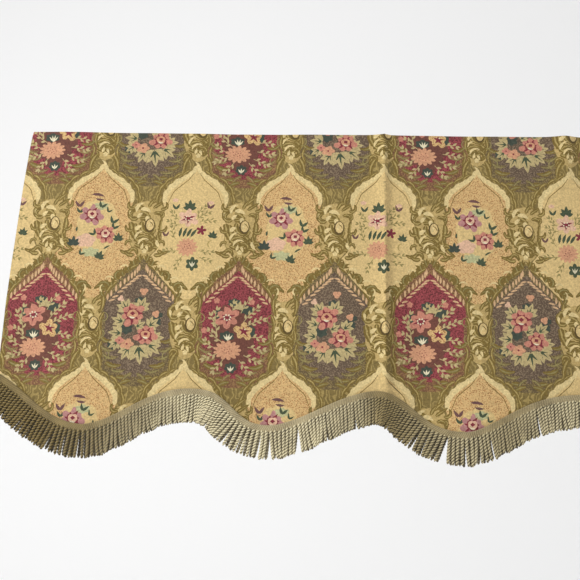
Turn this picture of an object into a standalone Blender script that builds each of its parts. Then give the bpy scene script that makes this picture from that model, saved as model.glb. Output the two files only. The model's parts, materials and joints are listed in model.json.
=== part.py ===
"""Fringed valance: a scalloped tapestry panel with bullion fringe along its hem.

The valance hangs in the XZ plane with its show side towards -Y. The origin is
the middle of the top edge, where the real one is sewn or stapled to a rail.
The panel is one thin sheet with the creases of a folded cloth. The fringe is
one strip sewn to the front of the hem, with all its cords growing from it.
Sizes are metres.
"""

import math
from collections import namedtuple

import bmesh
import bpy
from mathutils import Vector

OBJECT_NAME = "fringed_valance"

# Panel
PANEL_THICKNESS = 0.002
TOP_HALF_WIDTH = 0.629
SIDE_FLARE = 0.030
SIDE_FLARE_POWER = 0.7
PANEL_COLUMNS = 104
PANEL_ROWS = 9
PANEL_BEHIND_HEADER = 0.008
PANEL_SMOOTH_ANGLE = math.radians(50.0)

# Fringe
HEADER_HEIGHT = 0.011
HEADER_THICKNESS = 0.003
HEADER_GAP = 0.0010
STRAND_PITCH = 0.0064
STRAND_LENGTH = 0.045
STRAND_DEPTH = 0.0042
STRAND_LEAN_DROP = 0.90
STRAND_LEAN_CLIMB = 0.20
STRAND_CLEARANCE = 0.0005
HEM_SAMPLE = 0.001
HEM_TURN_SPAN = 4

# A strand from its root to its tip: how far along, how wide and how deep as a
# share of the full depth.
StrandRing = namedtuple("StrandRing", "along width depth_share")
STRAND_RINGS = (
    StrandRing(0.09, 0.0044, 1.0),
    StrandRing(0.55, 0.0038, 1.0),
    StrandRing(1.00, 0.0026, 0.7),
)

# The hem from left to right, a row for each scallop: the peak, the drop to the
# valley, the valley and the climb to the next peak. A mid is where the line is
# half way, as a share of its run, and a turn is how tightly it bends at its
# ends (1 is a straight line).
Scallop = namedtuple(
    "Scallop",
    "peak_x peak_z drop_mid drop_turn valley_x valley_z climb_mid climb_turn",
)
SCALLOPS = (
    Scallop(-0.683, -0.424, 0.44, 1.6, -0.505, -0.517, 0.44, 1.6),
    Scallop(-0.335, -0.457, 0.53, 2.2, -0.195, -0.516, 0.48, 1.4),
    Scallop(-0.021, -0.458, 0.45, 2.0, 0.131, -0.524, 0.38, 1.7),
    Scallop(0.325, -0.461, 0.50, 2.0, 0.463, -0.519, 0.44, 1.5),
)
LAST_PEAK_X = 0.672
LAST_PEAK_Z = -0.446

# Folds of the cloth, a row each: where its line stands at the top and at the
# hem, how wide it is to each side, how far it stands towards the front (minus
# is a trough), the heights between which it shows and over how far it fades.
FOLD_CREST = 1.6
FOLD_LINE_DEPTH = 0.5
Fold = namedtuple("Fold", "name x_top x_hem width rise z_from z_to fade")
FOLDS = (
    Fold("middle crease", 0.000, -0.004, 0.016, 0.0060, 0.05, -0.60, 0.05),
    Fold("left of crease", -0.070, -0.075, 0.055, 0.0030, 0.05, -0.60, 0.10),
    Fold("hollow right of crease", 0.030, 0.062, 0.036, -0.0075, -0.24, -0.56, 0.09),
    Fold("swell beyond hollow", 0.110, 0.135, 0.050, 0.0050, -0.20, -0.60, 0.10),
    Fold("top edge ripple", 0.326, 0.318, 0.022, 0.0090, 0.10, -0.12, 0.10),
    Fold("left shoulder", -0.560, -0.540, 0.060, 0.0040, 0.05, -0.60, 0.10),
    Fold("lower left hollow", -0.640, -0.615, 0.055, -0.0080, -0.30, -0.60, 0.09),
    Fold("left quarter swell", -0.330, -0.335, 0.070, 0.0045, -0.15, -0.60, 0.12),
    Fold("left inner hollow", -0.215, -0.200, 0.060, -0.0035, 0.05, -0.60, 0.10),
    Fold("right quarter swell", 0.250, 0.240, 0.060, 0.0035, -0.18, -0.60, 0.12),
    Fold("right hollow", 0.400, 0.420, 0.060, -0.0040, 0.05, -0.60, 0.10),
    Fold("right end swell", 0.560, 0.575, 0.060, 0.0045, 0.05, -0.60, 0.10),
)


def clear_scene():
    for old in list(bpy.data.objects):
        bpy.data.objects.remove(old, do_unlink=True)


def make_collection(name):
    collection = bpy.data.collections.new(name)
    bpy.context.scene.collection.children.link(collection)
    return collection


def make_cloth_material(name, colour, roughness):
    material = bpy.data.materials.new(name)
    material.use_nodes = True
    shader = material.node_tree.nodes["Principled BSDF"]
    shader.inputs["Base Color"].default_value = (*colour, 1.0)
    shader.inputs["Roughness"].default_value = roughness
    shader.inputs["Metallic"].default_value = 0.0
    return material


def soft_step(share):
    share = min(1.0, max(0.0, share))
    return share * share * (3.0 - 2.0 * share)


def rounded_run(share, mid, turn):
    """Goes from 0 to 1 along a run, half way at mid, bending by turn at its ends."""
    share = min(1.0, max(0.0, share))
    warped = share ** (math.log(0.5) / math.log(mid))
    near = warped ** turn
    far = (1.0 - warped) ** turn
    return near / (near + far)


def hem_z(x):
    """Height of the header's upper edge, the line that the eye reads as the hem."""
    for index, scallop in enumerate(SCALLOPS):
        last = index + 1 == len(SCALLOPS)
        next_peak_x = LAST_PEAK_X if last else SCALLOPS[index + 1].peak_x
        next_peak_z = LAST_PEAK_Z if last else SCALLOPS[index + 1].peak_z
        if x <= scallop.valley_x:
            share = (x - scallop.peak_x) / (scallop.valley_x - scallop.peak_x)
            way = rounded_run(share, scallop.drop_mid, scallop.drop_turn)
            return scallop.peak_z + (scallop.valley_z - scallop.peak_z) * way
        if x <= next_peak_x:
            share = (x - scallop.valley_x) / (next_peak_x - scallop.valley_x)
            way = rounded_run(share, scallop.climb_mid, scallop.climb_turn)
            return scallop.valley_z + (next_peak_z - scallop.valley_z) * way
    return LAST_PEAK_Z


def half_width(depth_share):
    return TOP_HALF_WIDTH + SIDE_FLARE * depth_share ** SIDE_FLARE_POWER


def fold_rise(x, z):
    """How far the cloth stands towards the front at this place."""
    rise = 0.0
    down = soft_step(-z / FOLD_LINE_DEPTH)
    for fold in FOLDS:
        line = fold.x_top + (fold.x_hem - fold.x_top) * down
        across = (x - line) / fold.width
        below_start = soft_step((fold.z_from - z) / fold.fade)
        above_end = soft_step((z - fold.z_to) / fold.fade)
        rise += fold.rise * below_start * above_end * math.exp(-abs(across) ** FOLD_CREST)
    return rise


def cloth_y(x, z):
    """The sheet's middle, with the middle of its top edge at the origin."""
    return fold_rise(0.0, 0.0) - fold_rise(x, z)


def build_panel(collection):
    """The tapestry: a flat grid drawn to the scalloped outline, folded, then thickened."""
    mesh = bpy.data.meshes.new("tapestry_panel")
    sheet = bmesh.new()
    bmesh.ops.create_grid(sheet, x_segments=PANEL_COLUMNS, y_segments=PANEL_ROWS, size=1.0)
    for vertex in sheet.verts:
        across = vertex.co.x
        down = (1.0 - vertex.co.y) / 2.0
        x = across * half_width(down)
        z = down * (hem_z(x) - PANEL_BEHIND_HEADER)
        vertex.co = Vector((x, cloth_y(x, z), z))
    bmesh.ops.recalc_face_normals(sheet, faces=sheet.faces)
    sheet.to_mesh(mesh)
    sheet.free()
    panel = bpy.data.objects.new("tapestry_panel", mesh)
    collection.objects.link(panel)
    thicken = panel.modifiers.new("cloth thickness", "SOLIDIFY")
    thicken.thickness = PANEL_THICKNESS
    thicken.offset = 0.0
    mesh.materials.append(make_cloth_material("woven_tapestry", (0.68, 0.53, 0.28), 0.85))
    mesh.shade_smooth()
    mesh.set_sharp_from_angle(angle=PANEL_SMOOTH_ANGLE)


def hem_stations():
    """Points along the hem line, one pitch apart, with the way down across the header."""
    left = -half_width(1.0)
    right = half_width(1.0)
    count = int((right - left) / HEM_SAMPLE)
    line = [Vector((left + (right - left) * i / count, 0.0)) for i in range(count + 1)]
    for point in line:
        point.y = hem_z(point.x)
    reach = [0.0]
    for before, after in zip(line, line[1:]):
        reach.append(reach[-1] + (after - before).length)
    strands = round(reach[-1] / STRAND_PITCH)
    stations = []
    index = 0
    for number in range(strands + 1):
        target = reach[-1] * number / strands
        while index < count - 1 and reach[index + 1] < target:
            index += 1
        along = (target - reach[index]) / (reach[index + 1] - reach[index])
        point = line[index].lerp(line[index + 1], along)
        ahead = line[min(count, index + HEM_TURN_SPAN)] - line[max(0, index - HEM_TURN_SPAN)]
        down = Vector((ahead.y, -ahead.x)).normalized()
        stations.append((point, down))
    return stations


def strand_leans(stations):
    """Each strand's lean from straight down, towards +X, held so that no two meet."""
    lower = [point + down * HEADER_HEIGHT for point, down in stations]
    roots = [(a + b) / 2.0 for a, b in zip(lower, lower[1:])]
    leans = []
    for (_, down_a), (_, down_b) in zip(stations, stations[1:]):
        down = (down_a + down_b).normalized()
        slope = math.atan2(down.x, -down.y)
        leans.append(slope * (STRAND_LEAN_DROP if slope < 0.0 else STRAND_LEAN_CLIMB))
    for index in range(len(leans) - 2, -1, -1):
        side = Vector((math.cos(leans[index + 1]), math.sin(leans[index + 1])))
        across = (roots[index + 1] - roots[index]).dot(side)
        room = [
            (across - ring.width - STRAND_CLEARANCE) / (STRAND_LENGTH * ring.along)
            for ring in STRAND_RINGS
        ]
        leans[index] = min(leans[index], leans[index + 1] + max(0.0, min(room)))
    return leans


def make_header_strip(fringe, strands):
    """A flat strip with one cell for each strand, thickened; returns its lower rim faces."""
    bmesh.ops.create_grid(fringe, x_segments=strands, y_segments=1, size=1.0)
    bmesh.ops.solidify(fringe, geom=fringe.faces[:], thickness=1.0)
    return [face for face in fringe.faces if all(vertex.co.y < 0.0 for vertex in face.verts)]


def lay_header(fringe, stations):
    """Bends the flat strip along the hem, in front of the cloth."""
    middle_z = sum(vertex.co.z for vertex in fringe.verts) / len(fringe.verts)
    for vertex in fringe.verts:
        number = round((vertex.co.x + 1.0) / 2.0 * (len(stations) - 1))
        point, down = stations[number]
        flat = point + down * HEADER_HEIGHT if vertex.co.y < 0.0 else point
        y = cloth_y(flat.x, flat.y) - PANEL_THICKNESS / 2.0 - HEADER_GAP
        if vertex.co.z > middle_z:
            y -= HEADER_THICKNESS
        vertex.co = Vector((flat.x, y, flat.y))


def place_ring(face, root, lean, ring):
    """Moves a face to one ring of its strand, square across the strand's way."""
    way = Vector((math.sin(lean), 0.0, -math.cos(lean)))
    side = Vector((math.cos(lean), 0.0, math.sin(lean)))
    old_centre = face.calc_center_median()
    centre = root + way * (STRAND_LENGTH * ring.along)
    for vertex in face.verts:
        offset = vertex.co - old_centre
        to_side = math.copysign(ring.width / 2.0, offset.dot(side))
        to_front = math.copysign(STRAND_DEPTH * ring.depth_share / 2.0, offset.y)
        vertex.co = centre + side * to_side + Vector((0.0, to_front, 0.0))


def grow_strands(fringe, roots, leans):
    """Draws each face under the header down into one strand, ring by ring."""
    faces = sorted(roots, key=lambda face: face.calc_center_median().x)
    starts = [face.calc_center_median() for face in faces]
    for ring in STRAND_RINGS:
        faces = bmesh.ops.extrude_discrete_faces(fringe, faces=faces)["faces"]
        faces.sort(key=lambda face: face.calc_center_median().x)
        for face, start, lean in zip(faces, starts, leans):
            place_ring(face, start, lean, ring)


def build_fringe(collection):
    """Bullion fringe: the header strip sewn along the hem and the cords that hang from it."""
    stations = hem_stations()
    fringe = bmesh.new()
    roots = make_header_strip(fringe, len(stations) - 1)
    lay_header(fringe, stations)
    grow_strands(fringe, roots, strand_leans(stations))
    bmesh.ops.recalc_face_normals(fringe, faces=fringe.faces)
    mesh = bpy.data.meshes.new("bullion_fringe")
    fringe.to_mesh(mesh)
    fringe.free()
    mesh.materials.append(make_cloth_material("khaki_cord", (0.42, 0.37, 0.22), 0.80))
    collection.objects.link(bpy.data.objects.new("bullion_fringe", mesh))


clear_scene()
parts = make_collection(OBJECT_NAME)
build_panel(parts)
build_fringe(parts)
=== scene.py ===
"""Fringed valance: looks for a scalloped tapestry panel with a bullion fringe."""

import json
import math
from collections import Counter, namedtuple

import bpy
import numpy as np
from mathutils import Matrix, Vector
from mathutils.bvhtree import BVHTree
from mathutils.geometry import delaunay_2d_cdt

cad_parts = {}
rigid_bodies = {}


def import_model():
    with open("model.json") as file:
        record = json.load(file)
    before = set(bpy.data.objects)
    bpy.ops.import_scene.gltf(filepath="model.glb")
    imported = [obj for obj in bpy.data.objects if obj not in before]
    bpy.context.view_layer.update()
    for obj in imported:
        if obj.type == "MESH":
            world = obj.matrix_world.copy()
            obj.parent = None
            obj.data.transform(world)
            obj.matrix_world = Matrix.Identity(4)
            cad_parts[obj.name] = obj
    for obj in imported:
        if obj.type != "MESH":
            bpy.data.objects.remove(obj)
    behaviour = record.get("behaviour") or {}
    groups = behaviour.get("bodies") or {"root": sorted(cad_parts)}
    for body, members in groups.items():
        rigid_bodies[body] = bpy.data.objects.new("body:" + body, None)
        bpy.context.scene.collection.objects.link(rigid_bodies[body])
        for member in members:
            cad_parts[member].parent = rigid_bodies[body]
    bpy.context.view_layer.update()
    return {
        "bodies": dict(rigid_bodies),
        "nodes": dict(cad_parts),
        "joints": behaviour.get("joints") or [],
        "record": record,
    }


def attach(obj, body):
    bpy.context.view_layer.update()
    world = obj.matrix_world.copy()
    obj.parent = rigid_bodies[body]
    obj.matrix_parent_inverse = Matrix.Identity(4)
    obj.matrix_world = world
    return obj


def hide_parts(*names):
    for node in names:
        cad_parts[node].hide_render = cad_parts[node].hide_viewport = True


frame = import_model()


# Tapestry panel
# One width of upholstery tapestry, cut to four scallops with its edges turned
# under. It was stored folded in half, so a crease stands down its middle, and
# soft hollows and swells run from it to the hem.
MM = 0.001
TOP_HALF_WIDTH = 0.629
SIDE_FLARE = 0.030
SIDE_FLARE_POWER = 0.7
PANEL_THICKNESS = 0.002
PANEL_BEHIND_HEADER = 0.008
OUTLINE_STEP = 0.004
SIDE_LENGTH = 0.45  # of a side edge, for the spacing of its points
# Filling points of the front and the back, in millimetres: how far apart they
# stand, how far from the edge, and the height of a row as a share of the step.
FILL_STEP, FILL_MARGIN = 8.0, 3.0
BACK_FILL_STEP, BACK_FILL_MARGIN = 24.0, 8.0
ROW_SHARE = 0.87
FLARED_DEPTH = 480.0  # where the grid's sides have reached their full flare

# The line of the hem from the first peak on, by turns down to a valley and up
# to a peak: where each run ends, where it is half way and how round its ends are.
FIRST_PEAK = (-0.683, -0.424)
HemRun = namedtuple("HemRun", "x z mid turn")
HEM_RUNS = [HemRun(*row) for row in (
    (-0.505, -0.517, 0.44, 1.6), (-0.335, -0.457, 0.44, 1.6),
    (-0.195, -0.516, 0.53, 2.2), (-0.021, -0.458, 0.48, 1.4),
    (0.131, -0.524, 0.45, 2.0), (0.325, -0.461, 0.38, 1.7),
    (0.463, -0.519, 0.50, 2.0), (0.672, -0.446, 0.44, 1.5),
)]

FOLD_CREST = 1.6
FOLD_LINE_DEPTH = 0.5
Fold = namedtuple("Fold", "name x_top x_hem width rise z_from z_to fade")
FOLDS = [Fold(*row) for row in (
    ("middle crease", 0.000, -0.004, 0.016, 0.0060, 0.05, -0.60, 0.05),
    ("left of crease", -0.070, -0.075, 0.055, 0.0030, 0.05, -0.60, 0.10),
    ("hollow right of crease", 0.030, 0.062, 0.036, -0.0075, -0.24, -0.56, 0.09),
    ("swell beyond hollow", 0.110, 0.135, 0.050, 0.0050, -0.20, -0.60, 0.10),
    ("top edge ripple", 0.326, 0.318, 0.022, 0.0090, 0.10, -0.12, 0.10),
    ("left shoulder", -0.560, -0.540, 0.060, 0.0040, 0.05, -0.60, 0.10),
    ("lower left hollow", -0.640, -0.615, 0.055, -0.0080, -0.30, -0.60, 0.09),
    ("left quarter swell", -0.330, -0.335, 0.070, 0.0045, -0.15, -0.60, 0.12),
    ("left inner hollow", -0.215, -0.200, 0.060, -0.0035, 0.05, -0.60, 0.10),
    ("right quarter swell", 0.250, 0.240, 0.060, 0.0035, -0.18, -0.60, 0.12),
    ("right hollow", 0.400, 0.420, 0.060, -0.0040, 0.05, -0.60, 0.10),
    ("right end swell", 0.560, 0.575, 0.060, 0.0045, 0.05, -0.60, 0.10),
)]


def soft_step(share):
    """Eases from 0 to 1."""
    share = np.clip(share, 0.0, 1.0)
    return share * share * (3.0 - 2.0 * share)


def rounded_run(share, mid, turn):
    """Goes from 0 to 1 along a run, half way at mid, bending by turn at its ends."""
    share = min(1.0, max(0.0, share))
    warped = share ** (math.log(0.5) / math.log(mid))
    near = warped ** turn
    far = (1.0 - warped) ** turn
    return near / (near + far)


def hem_z(x):
    """Height of the line along which the fringe is sewn."""
    from_x, from_z = FIRST_PEAK
    for run in HEM_RUNS:
        if x <= run.x:
            way = rounded_run((x - from_x) / (run.x - from_x), run.mid, run.turn)
            return from_z + (run.z - from_z) * way
        from_x, from_z = run.x, run.z
    return from_z


def half_width(depth_share):
    """How far the side edge is from the middle, at a share of the way down."""
    return TOP_HALF_WIDTH + SIDE_FLARE * depth_share ** SIDE_FLARE_POWER


def fold_rise(x, z):
    """How far the cloth stands towards the front, for arrays of places."""
    rise = 0.0
    down = soft_step(-z / FOLD_LINE_DEPTH)
    for fold in FOLDS:
        line = fold.x_top + (fold.x_hem - fold.x_top) * down
        across = (x - line) / fold.width
        below_start = soft_step((fold.z_from - z) / fold.fade)
        above_end = soft_step((z - fold.z_to) / fold.fade)
        rise = rise + fold.rise * below_start * above_end * np.exp(-np.abs(across) ** FOLD_CREST)
    return rise


REST_RISE = float(fold_rise(np.array([0.0]), np.array([0.0]))[0])


def cloth_y(x, z):
    """The sheet's middle, with the middle of its top edge at the origin."""
    return REST_RISE - fold_rise(x, z)


# Small creases of handling, a row each: the two ends, how wide and how high.
Crease = namedtuple("Crease", "x_a z_a x_b z_b width rise")
CREASES = [Crease(*row) for row in (
    (0.002, 0.080, -0.004, -0.620, 0.0030, 0.0034), (0.014, 0.080, 0.010, -0.620, 0.0060, -0.0024),
    (-0.100, -0.084, -0.040, -0.088, 0.0030, 0.0009), (-0.250, -0.095, -0.205, -0.098, 0.0035, 0.0006),
    (0.004, -0.110, 0.050, -0.118, 0.0030, 0.0006), (0.010, -0.360, 0.070, -0.335, 0.0060, 0.0012),
    (0.020, -0.430, 0.085, -0.455, 0.0060, -0.0012), (-0.655, -0.300, -0.590, -0.345, 0.0070, 0.0010),
    (-0.640, -0.400, -0.560, -0.430, 0.0080, -0.0012), (0.280, -0.010, 0.300, -0.070, 0.0060, -0.0010),
    (0.345, -0.005, 0.350, -0.080, 0.0060, -0.0012),
)]
# Long slack waves across the cloth: length, direction, phase and height.
Slack = namedtuple("Slack", "length turn phase rise")
SLACKS = [Slack(*row) for row in (
    (0.190, 20, 0.4, 0.00050), (0.131, 75, 1.9, 0.00035), (0.083, -35, 3.1, 0.00022),
    (0.057, 50, 5.0, 0.00014), (0.037, -70, 2.2, 0.00008),
)]


def small_rise(x, z):
    """Creases and slackness, finer than the folds."""
    rise = 0.0 * x
    for slack in SLACKS:
        turn = math.radians(slack.turn)
        along = (x * math.cos(turn) + z * math.sin(turn)) / slack.length
        rise = rise + slack.rise * np.sin(2 * math.pi * along + slack.phase)
    for crease in CREASES:
        run = np.array([crease.x_b - crease.x_a, crease.z_b - crease.z_a])
        length = math.hypot(*run)
        way = run / length
        along = ((x - crease.x_a) * way[0] + (z - crease.z_a) * way[1]) / length
        off = (x - crease.x_a) * -way[1] + (z - crease.z_a) * way[0]
        shows = soft_step(along * 4.0) * soft_step((1.0 - along) * 4.0)
        rise = rise + crease.rise * shows * np.exp(-(off / crease.width) ** 2)
    return rise


# The sheet bends most beside the middle crease, so more points fill it there.
CREASE_SPAN = (-0.010, 0.026)
CREASE_HEIGHTS = (-0.445, -0.004)
CREASE_STEP, CREASE_ROWS, BACK_CREASE_ROWS = 0.003, 0.010, 0.020
# A motif that covers more triangles than this has flooded past its outline.
FLOODED_TRIANGLES = 20000


def panel_outline():
    """The cut edge in millimetres, anticlockwise from the top left corner, down the left side."""
    def side(sign, down):
        x = sign * half_width(down)
        return x, down * (hem_z(x) - PANEL_BEHIND_HEADER)

    rows = int(SIDE_LENGTH / OUTLINE_STEP)
    columns = int(2 * half_width(1.0) / OUTLINE_STEP)
    left = [side(-1, i / rows) for i in range(rows)]
    hem_xs = [-half_width(1.0) + 2 * half_width(1.0) * i / columns for i in range(columns)]
    hem = [(x, hem_z(x) - PANEL_BEHIND_HEADER) for x in hem_xs]
    right = [side(1, 1.0 - i / rows) for i in range(rows)]
    top = [(TOP_HALF_WIDTH - 2 * TOP_HALF_WIDTH * i / columns, 0.0) for i in range(columns)]
    return [(x / MM, z / MM) for x, z in left + hem + right + top]


# The weave, charted: one repeat in millimetres, x to the right and y
# down from the tip of the plain yellow medallion. The chart is laid on the
# cloth a little askew: SKEW across for each step down, TILT down per pitch.
PITCH = 166.0
DROP = 353.6
SKEW = 0.02885
TILT = 1.2
FIRST_TIP = -60.5

DYES = {
    "olive ground": "79673a", "gold": "cdb27a", "gold shaded": "b49b63", "gold warm": "caa872",
    "cream": "d3bd87", "cream dull": "c9a47b", "olive": "74602d", "olive dark": "594824",
    "olive light": "a38f57", "crimson": "934448", "crimson brown": "714e38", "posy shadow": "6a4136",
    "grey": "5d4c3d", "grey olive": "635338", "green": "444e38", "teal": "3f463b", "plum": "684844",
    "pink": "bb7d69", "pink pale": "d2ab8e", "salmon": "c4916f", "rose": "7a2e38", "mauve": "ad7c77",
    "ivory": "dad0af", "leaf olive": "8b7f4e", "leaf pale": "b3a172", "tint green": "b0ae81",
}
# What the chart leaves out: points that hardly turn an outline or stand too
# close together, in millimetres, and outlines with too little area.
LEAST_TURN = 0.45
LEAST_RUN = 0.5
LEAST_STEP = 0.15
LEAST_AREA = 1.8
shapes = []


def signed_area(points):
    """Positive for an outline that runs anticlockwise with y up."""
    return sum(a[0] * b[1] - b[0] * a[1] for a, b in zip(points, points[1:] + points[:1])) / 2


def put(points, dye):
    """Adds an outline in one dye, over those that are there already."""
    kept = [points[0]]
    for (px, py), (qx, qy) in zip(points[1:], points[2:] + points[:1]):
        ax, ay = kept[-1]
        run = math.hypot(qx - ax, qy - ay)
        off = abs((px - ax) * (qy - ay) - (py - ay) * (qx - ax)) / run if run > 0.01 else 1.0
        if off > LEAST_TURN and math.hypot(px - ax, py - ay) > LEAST_RUN:
            kept.append((px, py))
    if len(kept) > 2 and abs(signed_area(kept)) > LEAST_AREA:
        shapes.append((kept, dye))


def around(x, y, offsets):
    """Points that are given from a motif's own place."""
    return [(x + dx, y + dy) for dx, dy in offsets]


def each(draw, x, y, rows, *same):
    """Draws one motif a row: its place from x and y and its own sizes, then what all rows share."""
    for dx, dy, *own in rows:
        draw(x + dx, y + dy, *own, *same)


def both_sides(axis, draw):
    """Draws once and again mirrored in the upright line at axis."""
    start = len(shapes)
    draw()
    for points, dye in shapes[start:]:
        put([(2 * axis - px, py) for px, py in points][::-1], dye)


def mix(values, t):
    """Reads a short list of values at t from 0 to 1."""
    place = t * (len(values) - 1)
    low = min(int(place), len(values) - 2)
    return values[low] + (values[low + 1] - values[low]) * (place - low)


def stroke(x, y, heading, length, wide, dye, sweep=0.0, widths=(0.0, 0.8, 1.0, 0.7, 0.0), steps=7,
           lobes=0, cut=0.35):
    """A leaf or curl: a tapering band along a bending spine. Heading 0 is up, 90 to the right."""
    left, right = [], []
    px, py = x, y
    for step in range(steps + 1):
        t = step / steps
        angle = math.radians(heading + sweep * t)
        half = wide / 2 * mix(widths, t)
        if lobes:
            half *= 1.0 - cut * (1.0 - abs(math.sin(math.pi * lobes * t)))
        nx, ny = math.cos(angle), math.sin(angle)
        left.append((px - nx * half, py - ny * half))
        right.append((px + nx * half, py + ny * half))
        px += math.sin(angle) * length / steps
        py -= math.cos(angle) * length / steps
    points = left + right[::-1]
    clean = [points[0]]
    for p in points[1:]:
        if math.dist(p, clean[-1]) > LEAST_STEP:
            clean.append(p)
    if math.dist(clean[0], clean[-1]) <= LEAST_STEP:
        clean.pop()
    put(clean, dye)


def rosette(x, y, rx, ry, petals, notch, dye, turn=0.0, points_each=4, sharp=1.0, uneven=0.0):
    """A flower's outline: petals round a centre, notched between them."""
    outline = []
    for i in range(petals * points_each):
        a = 2 * math.pi * i / (petals * points_each)
        lobe = abs(math.cos(petals * a / 2)) ** sharp
        r = 1.0 - notch * (1.0 - lobe)
        r *= 1.0 + uneven * math.sin(2.4 * math.floor(petals * a / (2 * math.pi) + 0.5) % petals + x)
        b = a + math.radians(turn)
        outline.append((x + rx * r * math.sin(b), y - ry * r * math.cos(b)))
    put(outline, dye)


def dot(x, y, r, dye, sides=5):
    """A small round spot."""
    turns = [2 * math.pi * i / sides for i in range(sides)]
    put([(x + r * math.sin(a), y - r * math.cos(a)) for a in turns], dye)


def frond(x, y, heading, length, wide, sweep, lobes=4, leaf="olive", light="olive light"):
    """An acanthus leaf: a lobed blade that curls over, with a pale rib along it."""
    stroke(x, y, heading, length, wide, leaf, sweep, (0.5, 1.0, 0.95, 0.7, 0.25), 2 * lobes + 2, lobes)
    stroke(x, y, heading, length * 0.92, wide * 0.26, light, sweep, (0.3, 1.0, 1.0, 0.6, 0.2), 4)


def smooth(points, closed=False, per=4):
    """A curve through a few points (Catmull-Rom)."""
    out = []
    n = len(points)
    for i in range(n if closed else n - 1):
        p0 = points[(i - 1) % n] if closed or i else points[0]
        p1, p2 = points[i % n], points[(i + 1) % n]
        p3 = points[(i + 2) % n] if closed or i + 2 < n else points[-1]
        for s in range(per):
            t = s / per
            out.append(tuple(
                0.5 * (2 * b + (c - a) * t + (2 * a - 5 * b + 4 * c - d) * t * t
                       + (3 * b - a - 3 * c + d) * t ** 3)
                for a, b, c, d in zip(p0, p1, p2, p3)))
    return out if closed else out + [points[-1]]


def band(points, wide, dye, ends=0.3, lobes=0, cut=0.4):
    """A ribbon along a line of points; lobes scallop its outer side."""
    left, right = [], []
    n = len(points) - 1
    for i, (px, py) in enumerate(points):
        a, b = points[max(0, i - 1)], points[min(n, i + 1)]
        dx, dy = b[0] - a[0], b[1] - a[1]
        size = math.hypot(dx, dy) or 1.0
        t = i / n
        half = wide / 2 * (ends + (1 - ends) * math.sin(math.pi * t) ** 0.5)
        outer = half
        if lobes:
            outer = half * (1 - cut + 2 * cut * abs(math.sin(math.pi * lobes * t)))
        left.append((px + dy / size * outer, py - dx / size * outer))
        right.append((px - dy / size * half, py + dx / size * half))
    put(left + right[::-1], dye)


def laurel(x, y, dye_leaf):
    """Half of the leaf arch on a medallion's shoulders: one leaf stands up, one points inwards."""
    line = smooth(around(x, y, ((5, 17), (13, 28), (25, 39), (40, 53), (55, 70))), per=9)
    steps = 10
    for i in range(steps):
        px, py = line[round(i * (len(line) - 1) / (steps - 1))]
        stroke(px + 1, py + 1, 2, 12, 3.7, dye_leaf, -8, (0.4, 1.0, 0.9, 0.0), 3)
        if i > 1:
            stroke(px - 1.5, py + 3, -66, 11.5, 3.5, dye_leaf, -20, (0.5, 1.0, 0.9, 0.0), 3)


BROADER = 1.3


def broad_frond(x, y, heading, length, wide, sweep, lobes):
    """A frond of the scrollwork, broader than those of the frames."""
    frond(x, y, heading, length, wide * BROADER, sweep, lobes)


def comma(x, y, heading, length, wide, sweep):
    """A cream curl on the scrollwork."""
    stroke(x, y, heading, length, wide * BROADER, "cream", sweep, (0.35, 1.0, 0.9, 0.6, 0.1), 4)


def scroll_column(x, y):
    """The acanthus scrollwork that stands between two medallions, 106 mm tall."""
    column = around(x, y, (
        (-24, 12), (0, 4), (24, 12), (27, 30), (22, 52), (26, 76),
        (15, 98), (0, 108), (-15, 98), (-27, 76), (-27, 48), (-30, 26),
    ))
    put(smooth(column, closed=True, per=2), "gold shaded")
    each(broad_frond, x, y, (
        (-30, 36, -10, 46, 10, 170, 6), (-16, 36, 240, 24, 8, 150, 4), (-28, 44, 165, 66, 13, -50, 9),
        (-20, 46, 175, 44, 10, -60, 6), (-12, 24, 100, 30, 8, 90, 4), (-16, 34, 80, 28, 8, 100, 4),
        (-12, 38, 80, 66, 10, 200, 8), (-8, 42, 190, 34, 9, -120, 5), (6, 10, 40, 26, 6, 20, 3),
        (10, 18, 50, 24, 6, 10, 3), (12, 28, 60, 30, 7, 190, 4), (2, 16, 20, 20, 6, 30, 3),
        (26, 40, 175, 34, 9, 30, 5), (20, 66, 165, 40, 8, -50, 5), (8, 66, 130, 30, 8, 60, 4),
        (-16, 74, 50, 30, 8, 110, 4), (-18, 84, 110, 40, 10, -90, 5), (-8, 84, 150, 24, 7, -80, 4),
        (2, 80, 80, 28, 7, 190, 4), (-26, 98, 20, 24, 7, 200, 4), (30, 74, 170, 24, 7, 200, 4),
        (26, 96, -20, 18, 7, -120, 3),
    ))
    each(comma, x, y, (
        (-19, 24, 0, 22, 5.5, 100), (-12, 20, 80, 20, 6, 70), (-16, 36, 20, 13, 5, 60), (0, 32, 170, 13, 6, 30),
        (-18, 58, 30, 13, 6, 60), (-18, 74, 10, 22, 3.6, 90), (-12, 84, 20, 26, 3.6, 130), (-6, 92, 20, 11, 4, -20),
        (2, 86, 150, 10, 4, 30), (20, 76, 170, 16, 5, -40), (-30, 24, 170, 12, 4, 10),
    ))
    rosette(x + 6, y + 49, 9.5, 13, 1, 0.0, "olive dark", 12, 10)
    rosette(x + 6.5, y + 48, 7, 10.5, 1, 0.0, "gold", 12, 10)
    stroke(x + 3, y + 54, 10, 15, 3.2, "cream", 40, (0.3, 1.0, 0.8, 0.2), 4)
    stroke(x + 5, y + 42, 120, 11, 1.8, "olive", 60, (0.5, 1.0, 0.5), 3)
    rosette(x, y + 96, 5, 5, 5, 0.3, "cream", points_each=2)


def closed_shape(x, y, half):
    """An upright, evenly sided outline from the points of its right half."""
    left = [(-dx, dy) for dx, dy in half[-2:0:-1]]
    return smooth(around(x, y, (*half, *left)), closed=True, per=2)


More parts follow.
